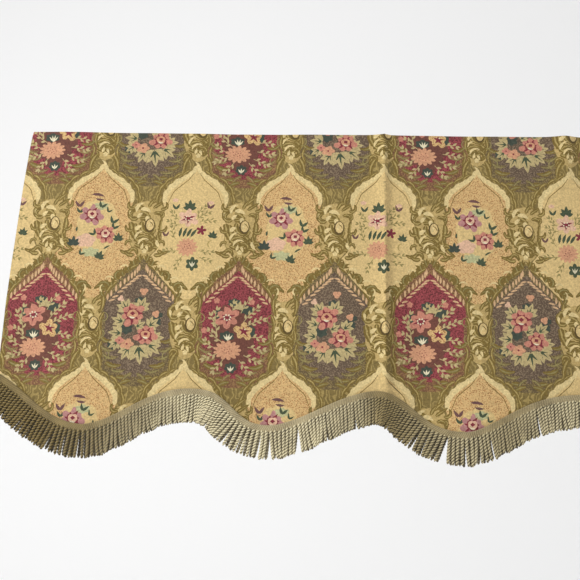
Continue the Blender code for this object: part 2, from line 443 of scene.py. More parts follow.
GOLD_HALF = ((0, -3), (4, 9), (12, 18), (24, 26), (37, 34), (49, 44), (57, 56), (58, 70), (52, 86), (55, 102),
             (56, 122), (54, 142), (62, 160), (74, 176), (60, 198), (44, 216), (28, 232), (14, 244), (0, 250))
FRAME_HALF = ((0, -3), (8, 5), (22, 17), (36, 31), (50, 44), (61, 55), (66, 72), (64, 96), (66, 124), (67, 150),
              (62, 176), (52, 194), (38, 208), (18, 216), (0, 218))
GROUND_HALF = ((0, 15), (12, 29), (26, 42), (42, 56), (57, 70), (60, 90), (56, 112), (57, 134), (53, 156), (44, 176),
               (30, 192), (14, 200), (0, 202))


def gold_medallion(x, y, dye):
    """A pointed yellow medallion with a scalloped cream border inside its arch."""
    put(closed_shape(x, y, GOLD_HALF), dye)

    def side():
        edge = smooth(around(x, y, ((1, 4), (7, 16), (19, 25), (33, 34), (46, 46), (54, 60), (53, 74))), per=4)
        band(edge, 9.0, "cream", ends=0.5, lobes=7, cut=0.3)
        inner = smooth(around(x, y, ((5, 17), (14, 30), (28, 42), (40, 54), (48, 74))), per=3)
        band(inner, 1.4, "olive", ends=0.6)
        each(frond, x, y, ((12, 12, 110, 20, 6, 50, 3), (26, 18, 105, 22, 7, 60, 3), (42, 26, 110, 24, 8, 70, 4),
                           (56, 38, 130, 24, 8, 70, 4), (64, 54, 150, 24, 8, 60, 4)))
    both_sides(x, side)
    stroke(x + 3, y + 8, -10, 16, 5, "cream", -60, (1.0, 1.0, 0.8, 0.5, 0.1), 5)


def gold_flanks(x, y):
    """Leaves that curl over a yellow medallion's lower half from the scrollwork and the frames."""
    def side():
        each(frond, x, y, ((60, 84, 250, 22, 8, 170), (58, 100, 300, 16, 7, 190), (60, 124, 240, 20, 8, 150),
                           (60, 146, 310, 18, 7, -170), (60, 160, 225, 22, 9, 100), (66, 168, 250, 20, 9, 90)), 3)
        for i in range(7):
            px, py = x + 78 - 9.0 * i, y + 178 + 9.0 * i
            reach = 13 + 4 * math.sin(2.3 * i)
            for turn in (-72, -44, -16, 12):
                heading = turn + 8 * math.sin(3.1 * i)
                stroke(px, py, heading, reach * (1.0 - abs(turn + 30) / 160), 4.2, "olive",
                       40 if turn > -30 else -40, (0.7, 1.0, 0.8, 0.2), 4)
            stroke(px, py + 2, -30, reach * 0.8, 1.7, "leaf olive", 30, (0.6, 1.0, 0.4), 3)
        each(frond, x, y, ((40, 214, 322, 24, 10, 150), (28, 226, 330, 26, 10, -140), (22, 234, 345, 26, 10, -150),
                           (20, 244, 312, 20, 9, 120)), 4, "olive", "leaf olive")
        for dx, dy, heading, length, sweep in (
            (58, 190, 300, 18, -120), (34, 212, 310, 18, -120), (16, 236, 320, 16, 110),
        ):
            stroke(x + dx, y + dy, heading, length, 3.4, "cream", sweep, (0.3, 1.0, 0.8, 0.2), 4)
    both_sides(x, side)


def rose(x, y, r, core, petal, dark, turn=0.0):
    """A full-blown rose: uneven petals parted by dark wedges, and a ringed heart with a light lower lip."""
    rosette(x, y, r, r * 0.94, 7, 0.30, petal, turn, uneven=0.14)
    for i in range(7):
        heading = turn + 360 * (i + 0.5) / 7
        a = math.radians(heading)
        reach = r * (0.34 + 0.16 * math.sin(2.7 * i + x))
        stroke(x + r * 0.40 * math.sin(a), y - r * 0.40 * math.cos(a), heading, reach, r * 0.22, dark,
               25, (1.0, 0.8, 0.0), 3)
    rosette(x, y - r * 0.05, r * 0.54, r * 0.48, 6, 0.24, dark, turn + 12, 3, uneven=0.12)
    rosette(x, y - r * 0.08, r * 0.44, r * 0.38, 5, 0.16, core, turn + 30, 3, uneven=0.08)
    rosette(x, y - r * 0.12, r * 0.22, r * 0.18, 4, 0.2, dark, turn, 2)
    stroke(x - r * 0.24, y + r * 0.12, 125, r * 0.5, r * 0.15, "ivory", -70, (0.2, 1.0, 1.0, 0.2), 4)


def sprig(x, y, heading, length, leaves, sweep, dye, size, wide):
    """A stem with small leaves to both sides and one at its tip."""
    stroke(x, y, heading, length, 1.2, dye, sweep=sweep, widths=(1, 1, 0.6), steps=4)
    px, py = x, y
    for i in range(leaves):
        angle = heading + sweep * ((i + 1) / leaves)
        px += math.sin(math.radians(angle)) * length / leaves
        py -= math.cos(math.radians(angle)) * length / leaves
        side = 1 if i % 2 else -1
        stroke(px, py, angle + side * 48, size, wide, dye, steps=4, sweep=side * -20)
    stroke(px, py, angle, size, wide, dye, steps=4)


def star_flower(x, y, r, petal, dark, dots, petals):
    """An open flower with a dark star at its heart and a few light stamens."""
    rosette(x, y, r, r * 0.95, petals, 0.38, petal, uneven=0.10)
    for i in range(petals):
        a = 360 * i / petals + 9 * math.sin(2.1 * i)
        reach = r * (0.62 + 0.14 * math.sin(1.9 * i + y))
        stroke(x, y, a, reach, r * 0.24, dark, 10, (0.7, 1.0, 0.5, 0.0), 3)
    for i in range(dots):
        a = 2 * math.pi * i / dots + 0.5
        dot(x + r * 0.26 * math.sin(a), y - r * 0.22 * math.cos(a), r * 0.085, "ivory", 4)


def aster(x, y, rx, ry, petal, dot_dye, count):
    """A many-petalled flower with a dotted heart."""
    rosette(x, y, rx, ry, 13, 0.28, petal, 5, points_each=4, sharp=0.8)
    for i in range(count):
        a = 2.4 * i
        r = 0.42 * math.sqrt((i + 0.5) / count)
        dot(x + rx * r * math.sin(a), y - ry * r * math.cos(a), 1.0, dot_dye, 4)


def lobed_leaf(x, y, heading, size, dye, vein=None):
    """A leaf of five lobes, with veins in a second dye."""
    for lean, s in ((-75, 0.8), (75, 0.8), (-38, 0.95), (38, 0.95), (0, 1.1)):
        stroke(x, y, heading + lean, size * s, size * 0.5, dye, widths=(0.5, 1.0, 0.8, 0.0), steps=4)
    if vein:
        for lean, s in ((-38, 0.6), (38, 0.6), (0, 0.85)):
            stroke(x, y, heading + lean, size * s, size * 0.17, vein, widths=(1.0, 0.8, 0.0), steps=3)


def twin_leaf(x, y, heading, size, dye):
    """Two leaves that part from one point."""
    for lean in (-42, 42):
        stroke(x, y, heading + lean, size, size * 0.42, dye, -lean * 0.5, (0.6, 1.0, 0.7, 0.0), 4)


def flame(x, y, leans, size, wide):
    """Ivory flecks that fan out over a bud."""
    for lean in leans:
        stroke(x, y, lean, size, wide, "ivory", steps=4)


def posy_plain(x, y):
    """The bouquet on the plain yellow medallion."""
    lobed_leaf(x - 8.6, y + 84, 0, 16, "green")
    twin_leaf(x - 33, y + 84, 0, 12, "green")
    rosette(x - 35, y + 68, 6, 4, 5, 0.3, "pink pale")
    twin_leaf(x + 26, y + 82, 15, 13, "plum")
    rosette(x + 28, y + 72, 6, 4, 5, 0.3, "pink pale")
    star_flower(x - 10, y + 101, 18.5, "pink pale", "rose", 5, 6)
    each(sprig, x, y, (
        (4, 104, 45, 24, 6, 20), (6, 96, 20, 20, 5, 30), (10, 108, 70, 24, 6, 20), (-26, 104, -60, 18, 5, 30),
        (-24, 114, -80, 20, 5, 20), (-30, 140, -30, 22, 5, 20), (-24, 160, -100, 22, 5, 20),
        (-16, 170, -140, 22, 5, -20), (12, 160, 110, 22, 5, -20), (14, 172, 120, 18, 4, -20),
    ), "leaf olive", 7.5, 3.0)
    for i, dx in enumerate((-18, -13, -8, -3)):
        stroke(x + dx * 1.3, y + 136, 4 + 8 * i, 19, 5.5, "green", sweep=20, steps=4)
    rosette(x + 14, y + 123, 9.5, 9.5, 5, 0.6, "rose", 10)
    lobed_leaf(x + 34, y + 135, 10, 12, "green")
    twin_leaf(x - 48, y + 134, 0, 11, "plum")
    aster(x - 9, y + 154, 19, 17, "salmon", "rose", 9)
    rosette(x + 2, y + 184, 12, 13, 6, 0.35, "green")
    flame(x + 2, y + 190, (-28, 0, 28), 11, 2.4)
    stroke(x + 34, y + 141, 260, 18, 2.4, "olive light", sweep=-150, widths=(0.2, 1, 1, 0.3), steps=7)


def posy_speckled(x, y):
    """Two roses on the speckled yellow medallion."""
    rosette(x - 2, y + 120, 37, 54, 9, 0.10, "gold", points_each=4)
    each(rosette, x, y, ((-20, 145, 18, 13, 5, 0.2, "pink pale"), (-10, 166, 18, 9, 7, 0.3, "tint green"),
                         (2, 82, 14, 8, 6, 0.3, "tint green")))
    stroke(x - 17, y + 61, 85, 24, 5.6, "plum", sweep=35, steps=4)
    stroke(x - 10, y + 68, 110, 17, 4.6, "plum", sweep=-35, steps=4)
    each(twin_leaf, x, y, ((-36, 84, 0, 14, "plum"), (-34, 95, 0, 12, "green"), (2, 84, 20, 13, "green"),
                           (14, 92, 30, 10, "green")))
    rose(x - 13, y + 99, 20, "pink pale", "mauve", "rose")
    each(twin_leaf, x, y, ((24, 112, 20, 14), (26, 122, 30, 13)), "green")
    rose(x + 13, y + 133, 18.5, "pink pale", "pink", "rose", 40)
    twin_leaf(x - 6, y + 134, -40, 12, "green")
    each(lobed_leaf, x, y, ((36, 143, 0, 13, "green"), (-41, 153, 0, 15, "teal")))
    stroke(x - 37, y + 130, -10, 10, 4, "green", sweep=40, steps=4)
    lobed_leaf(x + 5, y + 176, 20, 13, "green")
    twin_leaf(x - 28, y + 170, 40, 11, "green")
    stroke(x + 12, y + 160, 50, 14, 3.6, "green", sweep=30, steps=4)


def posy_wine(x, y):
    """The bouquet on the crimson medallion."""
    rosette(x - 5, y + 130, 39, 60, 11, 0.18, "posy shadow", 5)
    each(rosette, x, y, ((-4, 72, 12, 8), (18, 84, 12, 9), (-14, 130, 14, 9), (26, 122, 9, 12), (-30, 92, 7, 10)),
         6, 0.25, "teal")
    each(sprig, x, y, (
        (-30, 132, -12, 46, 8, 14), (-22, 140, -60, 28, 5, 20), (-30, 112, -50, 20, 4, 20),
        (-34, 150, -70, 18, 4, 20), (14, 104, 35, 32, 7, 15), (18, 112, 60, 30, 6, 10), (8, 90, 20, 26, 5, 20),
        (26, 132, 80, 20, 4, 20), (22, 148, 100, 26, 5, 0), (-28, 160, -110, 24, 5, 0), (-18, 170, -140, 24, 5, 0),
        (8, 170, 140, 26, 5, 0), (16, 162, 115, 26, 5, 0), (-6, 96, -5, 22, 4, 10),
    ), "leaf pale", 9.0, 4.2)
    lobed_leaf(x + 4, y + 82, 10, 13, "leaf pale")
    each(rosette, x, y, ((-34, 69), (26, 70), (-53, 121)), 5.5, 5.5, 5, 0.25, "pink")
    star_flower(x - 15, y + 98, 21, "pink", "rose", 7, 6)
    star_flower(x + 14, y + 121, 17, "gold warm", "rose", 1, 5)
    flame(x - 12, y + 138, (-40, -14, 12, 38), 13, 3)
    aster(x - 12, y + 154, 24, 17, "salmon", "rose", 11)
    rosette(x - 5, y + 184, 11, 10, 7, 0.25, "teal")
    flame(x - 5, y + 190, (-35, 0, 35), 10, 2.8)


def posy_grey(x, y):
    """Two roses and pale leaves on the grey medallion."""
    each(rosette, x, y, ((-26, 80, 10, 8), (28, 108, 12, 9), (-39, 148, 12, 9), (0, 72, 10, 8), (-20, 120, 12, 10),
                         (34, 96, 8, 6)), 6, 0.25, "teal")
    each(lobed_leaf, x, y, (
        (-22, 86, -30, 20), (2, 84, 22, 19), (-28, 108, -70, 18), (-30, 128, -85, 19), (-34, 144, -125, 15),
        (-2, 116, 60, 15), (20, 114, 50, 17), (28, 136, 85, 17), (22, 148, 130, 21), (4, 152, 172, 27),
        (-14, 154, 208, 20),
    ), "leaf pale", "green")
    each(rosette, x, y, ((5.5, 55, 8, 7, 3, 0.35, "salmon", 60), (29, 94, 7, 7, 3, 0.35, "salmon", 40),
                         (-33, 68, 6, 6, 3, 0.4, "pink pale", 10)))
    rose(x - 11, y + 96, 21.5, "salmon", "pink", "rose")
    rose(x + 14, y + 131, 19.5, "salmon", "pink", "rose", 50)
    rosette(x - 17, y + 146, 12.5, 10, 5, 0.3, "salmon", 20)
    rosette(x - 30, y + 140, 8, 7, 4, 0.3, "pink", 0)
    dot(x - 17, y + 146, 2, "rose")
    dot(x - 30, y + 140, 1.6, "rose")


def frame(x, y, rim):
    """The dark leafy border round a crimson or grey medallion, with combs of leaves on its shoulders."""
    put(closed_shape(x, y, FRAME_HALF), rim)

    def side():
        for i in range(9):
            t = i / 8
            px, py = x + 6 + 54 * t, y + 4 + 50 * t
            stroke(px, py, 10 + 30 * t, 15, 5.6, "olive", -25, (0.9, 1.0, 0.8, 0.1), 3)
            stroke(px + 4, py + 5, 20 + 30 * t, 10, 1.3, "olive light", -25, (0.6, 1.0, 0.3), 3)
        each(frond, x, y, ((8, 6, 120, 44, 9, 12, 6), (42, 38, 125, 34, 9, 50, 5), (52, 44, 60, 22, 8, 190, 4),
                           (64, 62, 190, 34, 9, -40, 5), (60, 92, 150, 34, 8, 60, 5), (66, 118, 200, 30, 8, -60, 4),
                           (60, 142, 160, 30, 8, 70, 4), (68, 160, 215, 36, 10, -50, 5)))
    both_sides(x, side)


def lower_leaves(x, y, rim):
    """The acanthus that closes a medallion off below, with thin tendrils that curl into the ground."""
    def side():
        for dx, dy, heading, length, wide, sweep in (
            (62, 134, 215, 26, 9, 90), (60, 150, 225, 28, 10, 80), (56, 164, 230, 28, 10, 70),
            (50, 178, 235, 28, 10, 60), (40, 190, 245, 26, 10, 60), (30, 202, 255, 26, 9, 50),
            (4, 196, 110, 26, 9, 70), (6, 208, 95, 30, 9, 60),
        ):
            frond(x + dx, y + dy, heading, length, wide, sweep, 4, "olive" if dx % 4 else rim, "leaf olive")
        for dx, dy, heading, length, sweep in (
            (60, 92, 245, 26, -190), (62, 122, 240, 24, -190), (52, 158, 250, 22, -170),
        ):
            stroke(x + dx, y + dy, heading, length, 1.9, "leaf olive", sweep, (0.6, 1, 1, 0.5), 6)
    both_sides(x, side)


def draw_repeat():
    """Two yellow medallions above, a crimson and a grey one half a pitch aside below them."""
    gold_medallion(0, 0, "gold")
    gold_medallion(PITCH, 0, "gold warm")
    for pitches, top in ((0, 242), (0.5, 66), (1, 242), (1.5, 66)):
        scroll_column(PITCH * pitches, top)
    for pitches, ground, rim, posy in (
        (0.5, "crimson", "crimson brown", posy_wine), (1.5, "grey", "grey olive", posy_grey),
    ):
        x, y = PITCH * pitches, 179
        frame(x, y, rim)
        put(closed_shape(x, y, GROUND_HALF), ground)
        lower_leaves(x, y, rim)
        both_sides(x, lambda: laurel(x, y, "cream dull"))
        posy(x, y)
    gold_flanks(0, 0)
    gold_flanks(PITCH, 0)
    posy_plain(0, 0)
    posy_speckled(PITCH, 0)


draw_repeat()


# Grounds woven with a second dye: its colour, how much of it shows, and whether
# it lies in fine specks (0), round spots (1) or curls (2).
Fleck = namedtuple("Fleck", "dye amount kind")
FLECKS = {
    "crimson": Fleck("662e2f", 0.32, 0.0),
    "crimson brown": Fleck("917048", 0.30, 0.0),
    "grey": Fleck("7f6d57", 0.30, 0.0),
    "grey olive": Fleck("857349", 0.30, 0.0),
    "gold warm": Fleck("97653b", 0.30, 1.0),
    "olive ground": Fleck("a08b53", 0.30, 2.0),
}
NO_FLECK = Fleck("000000", 0.0, 0.0)
BACK_DYE = "9a8a5e"
BACK_FLECK = Fleck("8a7c55", 0.25, 0.0)


def linear(code):
    """A dye's colour in linear light from its six-figure code."""
    out = []
    for i in (0, 2, 4):
        v = int(code[i:i + 2], 16) / 255.0
        out.append(v / 12.92 if v <= 0.04045 else ((v + 0.055) / 1.055) ** 2.4)
    return out


def placed_design(lowest, highest):
    """Every motif of every repeat that reaches the cloth, in millimetres across and up."""
    out = []
    for row in (-1, 0, 1):
        for column in range(-6, 7, 2):
            for points, dye in shapes:
                moved = []
                for x, y in points:
                    down = y + DROP * row
                    across = column * PITCH + x
                    moved.append((across - SKEW * down, FIRST_TIP - TILT * across / PITCH - down))
                xs, zs = zip(*moved)
                if max(xs) > lowest[0] and min(xs) < highest[0] and max(zs) > lowest[1] and min(zs) < highest[1]:
                    out.append((moved, dye))
    return out


def crease_points(step_z):
    """Filling points beside the middle crease, where the sheet bends most."""
    lines = np.arange(*CREASE_SPAN, CREASE_STEP)
    return [(x / MM, z / MM) for z in np.arange(*CREASE_HEIGHTS, step_z) for x in lines]


def grid_inside(outline, step, margin):
    """Filling points inside an outline, so that the sheet can bend."""
    loop = np.array(outline)
    low, high = loop.min(0), loop.max(0)
    xs = np.arange(low[0] + margin, high[0] - margin, step)
    zs = np.arange(low[1] + margin, high[1] - margin, step * ROW_SHARE)
    out = []
    for j, z in enumerate(zs):
        for x in xs + (step / 2 if j % 2 else 0.0):
            inside_hem = z > hem_z(x * MM) / MM - PANEL_BEHIND_HEADER / MM + margin
            inside_side = abs(x) < half_width(min(1.0, max(0.0, -z / FLARED_DEPTH))) / MM - margin
            if inside_hem and inside_side and z < -margin:
                out.append((x, z))
    return out


def dyed_triangles(outline):
    """Triangles over the cloth and the dye of the motif that lies uppermost on each."""
    low = (min(p[0] for p in outline), min(p[1] for p in outline))
    high = (max(p[0] for p in outline), max(p[1] for p in outline))
    points = [Vector(p) for p in outline]
    faces = [list(range(len(outline)))]
    dyes = ["olive ground"]
    for moved, dye in placed_design(low, high):
        if signed_area(moved) < 0.0:
            moved = moved[::-1]
        faces.append(list(range(len(points), len(points) + len(moved))))
        points.extend(Vector(p) for p in moved)
        dyes.append(dye)
    spots, _, triangles, origins, _, sources = delaunay_2d_cdt(points, [], faces, 1, 0.02, True)
    covered = Counter(i for source in sources for i in source)
    flooded = {i for i, number in covered.items() if number > FLOODED_TRIANGLES and i}
    kept, colours = [], []
    for triangle, source in zip(triangles, sources):
        if 0 in source:
            kept.append(tuple(triangle))
            colours.append(dyes[max(i for i in source if i not in flooded)])
    return spots, kept, colours, source_corners(origins, len(outline))


def source_corners(origins, number):
    """For each point that comes from one of the first corners given, that corner."""
    return {index: origin for index, found in enumerate(origins) for origin in found if origin < number}


def edges_of(polygon):
    return zip(polygon, polygon[1:] + polygon[:1])


def rim_of(triangles):
    """The loop of corners round a sheet of triangles, in the triangles' own direction."""
    seen = {}
    for triangle in triangles:
        for a, b in edges_of(triangle):
            if (b, a) in seen:
                del seen[(b, a)]
            else:
                seen[(a, b)] = True
    following = dict(seen.keys())
    start = next(iter(following))
    loop = [start]
    while following[loop[-1]] != start:
        loop.append(following[loop[-1]])
    if len(loop) != len(following):
        raise ValueError("the panel's rim is not one loop")
    return loop


def weave_front(outline):
    """The show side: its triangles' edges run along each change of dye, with fill between."""
    spots, first, first_dyes, first_corner = dyed_triangles(outline)
    beside = {}
    for triangle, dye in zip(first, first_dyes):
        for a, b in edges_of(triangle):
            beside.setdefault((min(a, b), max(a, b)), []).append(dye)
    borders = [edge for edge, pair in beside.items() if len(pair) == 1 or pair[0] != pair[1]]
    used = sorted({i for edge in borders for i in edge})
    place_of = {old: new for new, old in enumerate(used)}
    points = [Vector(spots[i]) for i in used]
    taken = {(round(p.x / FILL_STEP), round(p.y / FILL_STEP)) for p in points}
    for p in grid_inside(outline, FILL_STEP, FILL_MARGIN):
        if (round(p[0] / FILL_STEP), round(p[1] / FILL_STEP)) not in taken:
            points.append(Vector(p))
    points.extend(Vector(p) for p in crease_points(CREASE_ROWS))
    edges = [(place_of[a], place_of[b]) for a, b in borders]
    rim = [place_of[i] for i in rim_of(first)]
    places, _, triangles, origins, _, sources = delaunay_2d_cdt(points, edges, [rim], 1, 0.001, True)
    tree = BVHTree.FromPolygons([(p[0], p[1], 0.0) for p in spots], first)
    kept, colours = [], []
    for triangle, source in zip(triangles, sources):
        if len(source):
            middle = sum((places[i] for i in triangle), Vector((0.0, 0.0))) / 3
            kept.append(tuple(triangle))
            colours.append(first_dyes[tree.find_nearest((middle.x, middle.y, 0.0))[2]])
    corner_of = {
        index: first_corner[used[corner]]
        for index, corner in source_corners(origins, len(used)).items() if used[corner] in first_corner
    }
    return [tuple(p) for p in places], kept, colours, corner_of


def in_scene(name, data):
    """An object of its own in the scene."""
    made = bpy.data.objects.new(name, data)
    bpy.context.scene.collection.objects.link(made)
    return made


def build_panel():
    """The closed sheet: the woven front, a plain back and the turned edge between them."""
    outline = panel_outline()
    spots, triangles, colours, corner_of = weave_front(outline)
    loop = rim_of(triangles)
    while loop[0] not in corner_of:
        loop = loop[1:] + loop[:1]
    used = sorted({i for t in triangles for i in t})
    new_index = {old: new for new, old in enumerate(used)}
    front = np.array([spots[i] for i in used]) * MM
    triangles = [tuple(new_index[i] for i in t) for t in triangles]
    first_back = len(front)
    filling = grid_inside(outline, BACK_FILL_STEP, BACK_FILL_MARGIN) + crease_points(BACK_CREASE_ROWS)
    points = [Vector(p) for p in outline + filling]
    whole = [list(range(len(outline)))]
    spots, _, made, origins, _, sources = delaunay_2d_cdt(points, [], whole, 1, 0.0001, True)
    back = np.array([tuple(p) for p in spots]) * MM
    back_of = {corner: first_back + i for i, corner in source_corners(origins, len(outline)).items()}
    back_faces = [tuple(first_back + i for i in reversed(t)) for t, source in zip(made, sources) if len(source)]
    sides = []
    behind = back_of[corner_of[loop[0]]]
    for here, following in edges_of(loop):
        a, b = new_index[here], new_index[following]
        sides.append((b, a, behind))
        if following in corner_of:
            next_behind = back_of[corner_of[following]]
            if next_behind != behind:
                sides.append((b, behind, next_behind))
            behind = next_behind
    x, z = np.concatenate([front, back]).T
    half = np.where(np.arange(len(x)) < first_back, -PANEL_THICKNESS / 2, PANEL_THICKNESS / 2)
    places = np.stack([x, cloth_y(x, z) - small_rise(x, z) + half, z], 1)
    mesh = bpy.data.meshes.new("tapestry")
    mesh.from_pydata([tuple(p) for p in places], [], triangles + back_faces + sides)
    plain = len(back_faces) + len(sides)
    dyes = [linear(DYES[c]) for c in colours] + [linear(BACK_DYE)] * plain
    flecks = [FLECKS.get(c, NO_FLECK) for c in colours] + [BACK_FLECK] * plain
    for name, rows in (
        ("dye", [[*dye, 1.0] for dye in dyes]),
        ("fleck", [[*linear(fleck.dye), fleck.amount] for fleck in flecks]),
        ("fleck_kind", [[fleck.kind] * 3 + [1.0] for fleck in flecks]),
    ):
        layer = mesh.color_attributes.new(name, "FLOAT_COLOR", "CORNER")
        layer.data.foreach_set("color", np.repeat(np.array(rows, np.float32), 3, axis=0).ravel())
    mesh.shade_smooth()
    mesh.set_sharp_from_angle(angle=math.radians(60.0))
    mesh.validate()
    return in_scene("tapestry", mesh)


def new_material(name, looks):
    """A node material whose shader has these even values."""
    material = bpy.data.materials.new(name)
    material.use_nodes = True
    shader = material.node_tree.nodes["Principled BSDF"]
    for socket, value in looks.items():
        shader.inputs[socket].default_value = value
    return material, material.node_tree, shader


# The mix node's sockets for colours, which share their names with others.
MIX_A, MIX_B, MIXED = 6, 7, 2
NODE_GAP = 200


def add_node(tree, kind, inputs, **options):
    """Adds a node with its options, and sets or links its inputs by name or number."""
    node = tree.nodes.new("ShaderNode" + kind)
    node.location = (NODE_GAP * len(tree.nodes), 0)
    for name, value in options.items():
        setattr(node, name, value)
    for socket, given in inputs.items():
        if isinstance(given, bpy.types.NodeSocket):
            tree.links.new(given, node.inputs[socket])
        else:
            node.inputs[socket].default_value = given
    return node


def worked(tree, operation, *given):
    """What a math node makes of these."""
    return add_node(tree, "Math", dict(enumerate(given)), operation=operation).outputs[0]


def ranged(tree, value, low, high, to_low=0.0, to_high=1.0):
    """A value from one range brought to another."""
    return add_node(tree, "MapRange", {
        "Value": value, "From Min": low, "From Max": high, "To Min": to_low, "To Max": to_high}).outputs[0]


def woven_material():
    """Jacquard weave: each motif's own dye, flecked grounds, uneven yarns and a ribbed face."""
    material, tree, shader = new_material("jacquard tapestry", {
        "Roughness": 0.88, "Sheen Weight": 0.12, "Sheen Roughness": 0.5, "Specular IOR Level": 0.25,
    })
    where = add_node(tree, "TexCoord", {}).outputs["Object"]
    dye = add_node(tree, "Attribute", {}, attribute_name="dye")
    fleck = add_node(tree, "Attribute", {}, attribute_name="fleck")
    kind = add_node(tree, "Attribute", {}, attribute_name="fleck_kind").outputs["Fac"]
    fine = add_node(tree, "TexNoise", {"Vector": where, "Scale": 420.0, "Detail": 1.0, "Roughness": 0.6})
    coarse = add_node(tree, "TexVoronoi", {"Vector": where, "Scale": 400.0})
    curls = add_node(tree, "TexWave", {
        "Vector": where, "Scale": 38.0, "Distortion": 14.0, "Detail": 1.0, "Detail Scale": 1.6})
    amount = fleck.outputs["Alpha"]
    specks = ranged(tree, worked(tree, "ADD", fine.outputs["Fac"], amount), 0.80, 0.88)
    spots = ranged(tree, coarse.outputs["Distance"], 0.38, 0.28)
    curled = ranged(tree, curls.outputs["Fac"], 0.62, 0.78, 0.0, 0.8)
    choose = add_node(tree, "Mix", {0: kind, 2: specks, 3: spots}, data_type="FLOAT")
    is_curled = worked(tree, "GREATER_THAN", kind, 1.5)
    pattern = add_node(tree, "Mix", {0: is_curled, 2: choose.outputs[0], 3: curled}, data_type="FLOAT")
    has_fleck = worked(tree, "GREATER_THAN", amount, 0.01)
    flecked = add_node(tree, "Mix", {
        0: worked(tree, "MULTIPLY", pattern.outputs[0], has_fleck),
        MIX_A: dye.outputs["Color"], MIX_B: fleck.outputs["Color"]}, data_type="RGBA")
    yarns = add_node(tree, "TexNoise", {"Vector": where, "Scale": 330.0, "Detail": 2.0, "Roughness": 0.7})
    uneven = ranged(tree, yarns.outputs["Fac"], 0.25, 0.75, 0.62, 1.18)
    shade = add_node(tree, "Mix", {0: 1.0, MIX_A: flecked.outputs[MIXED], MIX_B: uneven},
                     data_type="RGBA", blend_type="MULTIPLY")
    rib = add_node(tree, "TexWave", {"Vector": where, "Scale": 160.0, "Distortion": 1.5}, bands_direction="Z")
    height = worked(tree, "ADD", rib.outputs["Fac"], yarns.outputs["Fac"])
    bump = add_node(tree, "Bump", {"Height": height, "Strength": 0.35, "Distance": 0.0006})
    tree.links.new(shade.outputs[MIXED], shader.inputs["Base Color"])
    tree.links.new(bump.outputs["Normal"], shader.inputs["Normal"])
    return material


panel = build_panel()
panel.data.materials.append(woven_material())
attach(panel, "root")
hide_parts("tapestry_panel")


# Fringe header
# A narrow braid woven with the fringe, sewn to the front of the panel along
# the scallops. Its yarns slant across it in fine ribs, and the cords grow out
# of its lower edge.
HEADER_HEIGHT = 0.011
HEADER_THICKNESS = 0.003
HEADER_GAP = 0.0010
HEM_SAMPLE = 0.0005
HEM_TURN_SPAN = 8
STRAND_PITCH = 0.0064
CELLS_PER_STRAND = 6


def hem_stations(pitch):
    """Points along the hem a pitch apart, each with the way down across the header."""
    left, right = -half_width(1.0), half_width(1.0)
    count = int((right - left) / HEM_SAMPLE)
    xs = np.linspace(left, right, count + 1)
    line = np.stack([xs, [hem_z(x) for x in xs]], 1)
    reach = np.concatenate([[0.0], np.cumsum(np.hypot(*np.diff(line, axis=0).T))])

    def at(reached):
        return np.stack([np.interp(reached, reach, line[:, 0]), np.interp(reached, reach, line[:, 1])], 1)
    targets = np.linspace(0.0, reach[-1], round(reach[-1] / pitch) + 1)
    span = HEM_TURN_SPAN * HEM_SAMPLE
    run = at(targets + span) - at(targets - span)
    down = np.stack([run[:, 1], -run[:, 0]], 1) / np.hypot(run[:, 0], run[:, 1])[:, None]
    return at(targets), down, targets


def header_back(x, z):
    """The y of the header's back at a place, just in front of the cloth."""
    return cloth_y(x, z) - PANEL_THICKNESS / 2 - HEADER_GAP


def mark_painted_light(mesh, painted_light):
    """Marks each point's painted light, from 0 for painted shade in the yarns' grooves and on their shaded sides to
    1 for painted highlight on their lit tops.
    """
    layer = mesh.attributes.new("painted_light", "FLOAT", "POINT")
    layer.data.foreach_set("value", np.asarray(painted_light, np.float32))


def ring_faces(rings, sides):
    """Quads between neighbouring rings of a tube."""
    ring = np.arange(rings - 1)[:, None] * sides
    side = np.arange(sides)[None, :]
    after = (side + 1) % sides
    return np.stack([ring + side, ring + after, ring + sides + after, ring + sides + side], -1).reshape(-1, 4)


# Across the header from its upper edge round the front, the lower edge and the
# back: how far down, how far out, and how much of the woven relief shows.
HeaderEdge = namedtuple("HeaderEdge", "down out relief")
HEADER_SECTION = [HeaderEdge(*row) for row in (
    (0.00, 0.35, 0.0), (0.03, 0.80, 0.3), (0.12, 0.98, 1.0), (0.24, 0.95, 1.0),
    (0.36, 0.92, 1.0), (0.48, 0.92, 1.0), (0.60, 0.92, 1.0), (0.72, 0.95, 1.0),
    (0.84, 1.00, 1.0), (0.95, 0.95, 0.5), (1.00, 0.60, 0.0), (1.00, 0.10, 0.0),
    (0.50, 0.00, 0.0), (0.02, 0.05, 0.0),
)]
HEADER_RELIEF = 0.0005
RIB_PITCH = 0.0032
RIB_SLANT = 0.22
# Painted light on the ribs: the lightness painted at a rib's flank, and the swing to a painted highlight on its top
# and painted shade in its groove.
RIB_PAINTED_LIGHT, RIB_PAINTED_SWING = 0.62, 0.38


